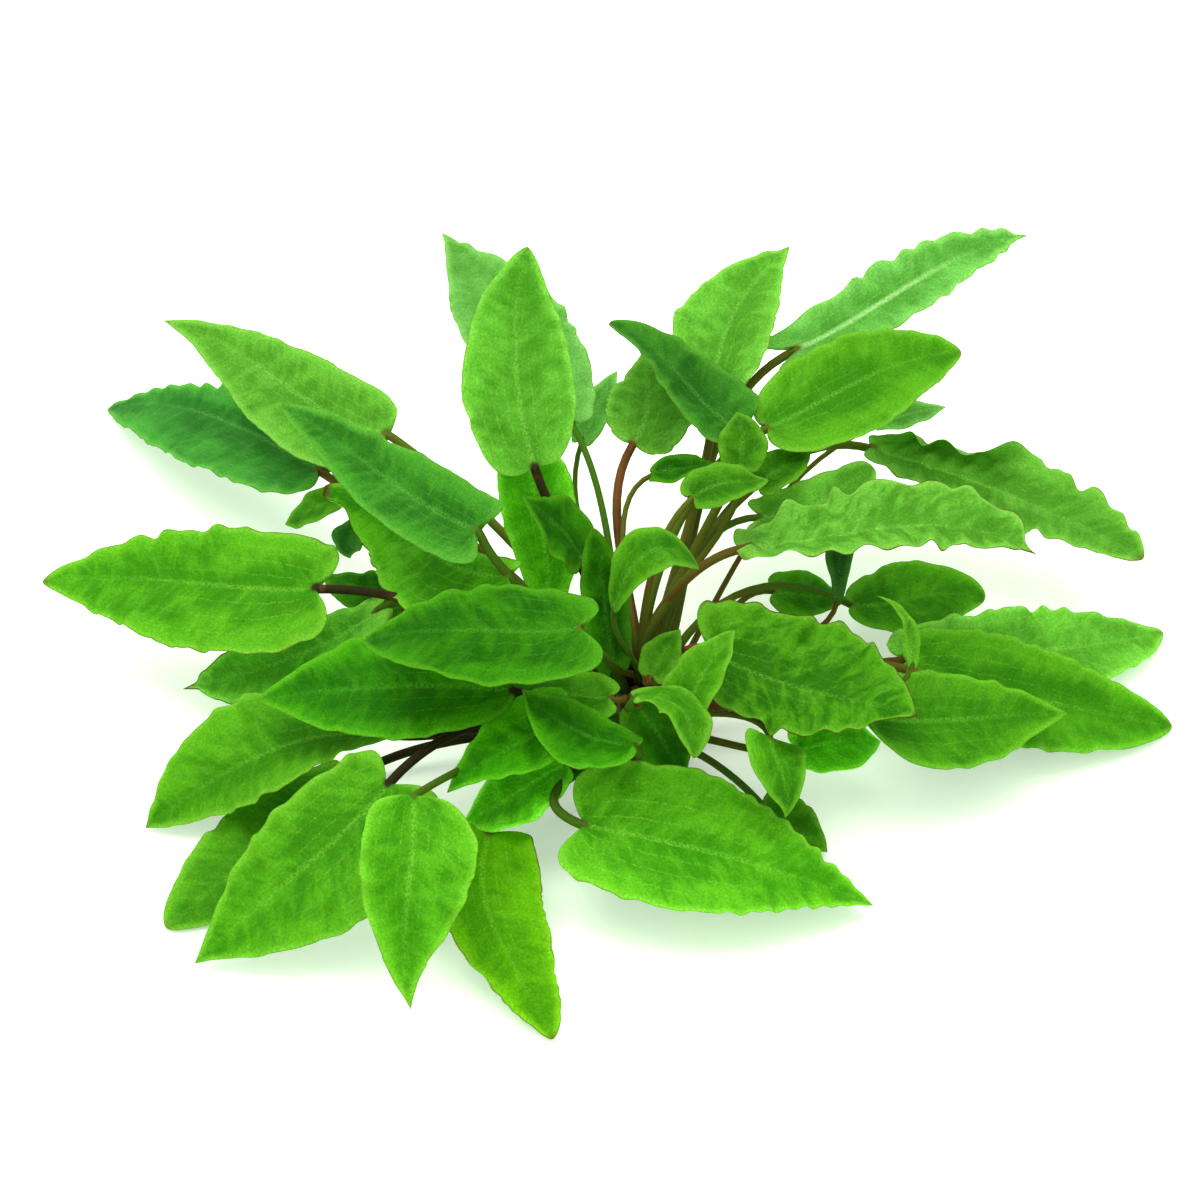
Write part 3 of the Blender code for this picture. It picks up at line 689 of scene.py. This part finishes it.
BACK = (
    Leaf("leaf_back_far", (108, 8), (-15.5, 57, 43), (-46.5, 113.5, 55.5), 25.5, (5.5, 2), (-1.5, 2), 2,
         1, lobe=0.06, belly=0.4, taper=0.4, tone="pale", glow=0.97, stem=0.1, wave=1.6, nicks=1.5,
         stalk=0.75),
    Leaf("leaf_back_mottled", (76, 9), (17, 66, 45), (35, 100, 61), 24.5, (3.5, 0), (-5.5, -5.5), 7, 0,
         lobe=0.08, belly=0.36, taper=0.2, skew=-0.05, tone="light", glow=1.05, mottle=1.3, stem=0.35,
         nicks=1.8, wave=1.3),
    Leaf("leaf_back_dark_folded", (78, 12), (22.5, 46.5, 49), (-7, 71, 60.5), 19, (-1, 1.5), (-3, 6),
         -7, -23, lobe=0.02, belly=0.2, taper=-0.3, skew=0.2, wave=0.3, neck=0.1, tone="cool",
         glow=0.97, stem=0.35),
    Leaf("leaf_back_crenate", (92, 11), (-1.5, 54.5, 39), (0.5, 74.5, 49.5), 21, (1, 0), (4, 2.5), 4,
         -3, lobe=0.08, belly=0.4, taper=0.3, skew=0.1, wave=0.8, nicks=4, glow=0.95, stem=0.8,
         tone="light", pitch=3.5),
    Leaf("leaf_back_thin", (100, 5), (-13, 70, 28), (-5, 88, 34), 8, (2, 1), (0, 0), 0, 0, taper=0.2,
         stalk=0.6, tone="pale", stem=0.1),
    Leaf("leaf_back_right_big", (92, 13), (28, 50.5, 46.5), (73, 71.5, 52), 26, (1, 4), (0, -4.5), -16,
         -4, lobe=0.06, belly=0.4, taper=-0.1, skew=0.05, wave=0.5, tone="fresh", glow=1, stem=0.25,
         mottle=0.7),
    Leaf("leaf_back_right_far", (66, 5), (36, 79.5, 46.5), (91.5, 109.5, 57.5), 15.5, (3, 9.5), (4, 1),
         -25, -7, lobe=0.16, belly=0.4, taper=-0.1, skew=-0.05, wave=2.4, pitch=6.5, tone="pale",
         glow=1.1, stem=0.4, nicks=1.5, drip=0.04, rib=0.5),
    Leaf("leaf_back_small_dark", (98, 15), (3, 44.5, 38.5), (16, 43.5, 43), 9.5, (0.5, -0.5),
         (-0.5, 1.5), -1, -3, belly=0.4, stalk=0.6, tone="deep", stem=0.3),
    Leaf("leaf_back_veined", (110, 17), (11, 22, 50.5), (27.5, 28.5, 50), 13, (2.5, 2), (-1.5, 1), -2,
         1, taper=0.2, stalk=0.7, stem=0.4),
    Leaf("leaf_back_veined_top", (100, 15), (22, 35.5, 47.5), (21, 46, 55), 11, (1, 1.5), (0, 1.5), 0,
         0, belly=0.4, taper=0.2, stalk=0.7, stem=0.3),
    Leaf("leaf_back_olive", (85, 11), (26, 40, 39), (38, 48, 42), 12, (1, 1), (0, 0), 0, 0, taper=0.2,
         stalk=0.7, stem=0.3),
    Leaf("leaf_back_half_hidden", (80, 14), (26.5, 35.5, 33.5), (52, 46.5, 39), 13.5, (-0.5, 1),
         (6.5, 2.5), -21, -1, lobe=0.18, belly=0.36, taper=-0.3, skew=0.05, stalk=0.8, tone="light",
         glow=1.1, stem=0.2),
)
for leaf in BACK:
    grow(leaf)


# Leaves of the right side
# Long leaves in layers, each over the next, which droop to the surface at the far end. Some margins
# are ruffled or curled over.

RIGHT_SIDE = (
    Leaf("leaf_right_ruffled", (95, 12), (23, 17, 40.5), (85, 15, 40.5), 23.5, (1, 6.5), (-2, -10.5), 4,
         -30, lobe=0.1, belly=0.44, taper=-0.3, skew=-0.3, wave=2.8, pitch=8.5, nicks=1.5, tone="light",
         glow=1.05, brown=1, mottle=1.9, stem=0.5, quilt=2.2, drip=0.05),
    Leaf("leaf_right_twisted", (75, 9), (53.5, 66.5, 28), (112, 31.5, 24.5), 25.5, (-2.5, -3.5),
         (-7, -8), 3, -12, lobe=0.06, belly=0.42, taper=-0.1, skew=-0.15, wave=2.2, nicks=1,
         tone="light", glow=0.95, pitch=8, stem=0.25, flap=(-1, 150, 0.55, -0.1, 0.42), quilt=1.6,
         brown=0.6),
    Leaf("leaf_right_far_sliver", (57, 3), (57, 83, 22), (73, 87, 24), 9, (1, 1), (0, 0), 0, 0,
         taper=0.2, stalk=0.6, tone="pale"),
    Leaf("leaf_right_oval", (28, 14), (47.5, 29, 13), (78.5, 35, 9.5), 20.5, (-1, 1), (1, -5.5), -8, -3,
         lobe=0.08, belly=0.46, taper=-0.2, wave=0.3, glow=1.2, stem=0.15, hang=-14, neck=0.45,
         stalk=0.8),
    Leaf("leaf_right_low_dark", (35, 3), (30.5, 36, 11), (47.5, 37, 8), 14, (-0.5, 1), (0, 1.5), -7, 1,
         taper=0.3, stalk=0.7, glow=1.2, stem=0.3),
    Leaf("leaf_right_dark_sliver", (20, 9), (43.5, 21.5, 21), (43.5, 30.5, 37), 6.5, (1, 1), (1, 0), 0,
         1, lobe=0.12, belly=0.64, taper=0.2, stalk=0.6, tone="dark", glow=0.8),
    Leaf("leaf_right_frilly", (12, 4), (59, 11.5, 12.5), (119.5, 32, 2), 26, (0.5, 1.5), (1.5, 4.5), -7,
         -4, lobe=0.12, belly=0.42, taper=0, skew=0.05, wave=1.4, pitch=7, nicks=1.2, tone="light",
         glow=1.28, stem=0.6, quilt=1.5),
    Leaf("leaf_right_long", (3, 7), (58.5, 2, 18.5), (117.5, 2.5, 1), 29.5, (1.5, -1), (2.5, 0.5), -11,
         -1, lobe=0.1, belly=0.36, taper=-0.1, wave=0.5, glow=1.4, stem=0.5, mottle=0.7),
    Leaf("leaf_right_light", (343, 7), (47, -19, 25), (91.5, -9, 16), 25, (-3.5, -1), (0.5, -2), -14,
         -1, lobe=0, belly=0.36, taper=0.2, skew=0.05, wave=0.4, nicks=0.6, glow=1.25, stem=0.6,
         mottle=0.7),
    Leaf("leaf_right_curl", (352, 14), (57, -8.5, 30.5), (50, 4.5, 38), 3, (2, 2), (3, 5), 0, 0,
         taper=0.2, stalk=0.6, tone="mid", stem=0.1, glow=1.1),
    Leaf("leaf_right_mottled", (330, 15), (14.5, -9.5, 34.5), (56.5, -28, 34), 32, (-8.5, -6),
         (-3, -5.5), -6, 7, lobe=0.22, belly=0.42, taper=0.3, skew=-0.15, wave=1.3, nicks=2.5, glow=1.1,
         brown=1, mottle=2, pitch=6.5, stem=0.7, quilt=1.8),
)
for leaf in RIGHT_SIDE:
    grow(leaf)


# Surface, light and camera
# The plant lies on a wide white sheet under a broad soft light, photographed from above the front.

# Green tint of the sheet: painted green light, seen only in its shadows.
FLOOR_SHADE_GREEN = (0.74, 0.87, 0.66)
SKY = 1.35
LAMP_WATTS = 14.0
# The sheet's own glow: painted light that keeps it white and lightens its shadows.
FLOOR_GLOW = 0.30
CAMERA_AIM = (-0.009, 0.012, 0.030)
CAMERA_AWAY = 0.650
CAMERA_HEIGHT_ANGLE = math.radians(42)


def sheet_material():
    """Matt white with a green tint and a faint glow of its own. The glow is painted light that keeps
    the sheet white and lightens its shadows, and the tint paints those shadows pale green, as light
    through the leaves would.
    """
    material = bpy.data.materials.new("white_sheet")
    material.use_nodes = True
    shader = material.node_tree.nodes["Principled BSDF"]
    shader.inputs["Base Color"].default_value = (*FLOOR_SHADE_GREEN, 1)
    shader.inputs["Roughness"].default_value = 0.9
    shader.inputs["Specular IOR Level"].default_value = 0.2
    shader.inputs["Emission Color"].default_value = (1, 1, 1, 1)
    shader.inputs["Emission Strength"].default_value = FLOOR_GLOW
    return material


sheet = bpy.data.meshes.new("white_sheet")
sheet.from_pydata([(-3, -3, 0), (3, -3, 0), (3, 3, 0), (-3, 3, 0)], [], [(0, 1, 2, 3)])
sheet.materials.append(sheet_material())
floor = bpy.data.objects.new("white_sheet", sheet)
bpy.context.scene.collection.objects.link(floor)

world = bpy.data.worlds.new("studio")
bpy.context.scene.world = world
world.use_nodes = True
world.node_tree.nodes["Background"].inputs["Color"].default_value = (1, 1, 1, 1)
world.node_tree.nodes["Background"].inputs["Strength"].default_value = SKY

lamp_data = bpy.data.lights.new("overhead", "AREA")
lamp_data.energy = LAMP_WATTS
lamp_data.size = 1.0
lamp = bpy.data.objects.new("overhead", lamp_data)
lamp.location = (-0.15, 0.2, 1.0)
lamp.rotation_euler = (math.radians(-11), math.radians(-8), 0)
bpy.context.scene.collection.objects.link(lamp)

camera_data = bpy.data.cameras.new("camera")
camera_data.sensor_width = 36
camera_data.lens = 89.86
camera = bpy.data.objects.new("camera", camera_data)
camera.location = (
    CAMERA_AIM[0],
    CAMERA_AIM[1] - CAMERA_AWAY * math.cos(CAMERA_HEIGHT_ANGLE),
    CAMERA_AIM[2] + CAMERA_AWAY * math.sin(CAMERA_HEIGHT_ANGLE),
)
camera.rotation_euler = (math.pi / 2 - CAMERA_HEIGHT_ANGLE, 0, 0)
bpy.context.scene.collection.objects.link(camera)
bpy.context.scene.camera = camera
bpy.context.scene.view_settings.view_transform = "Standard"
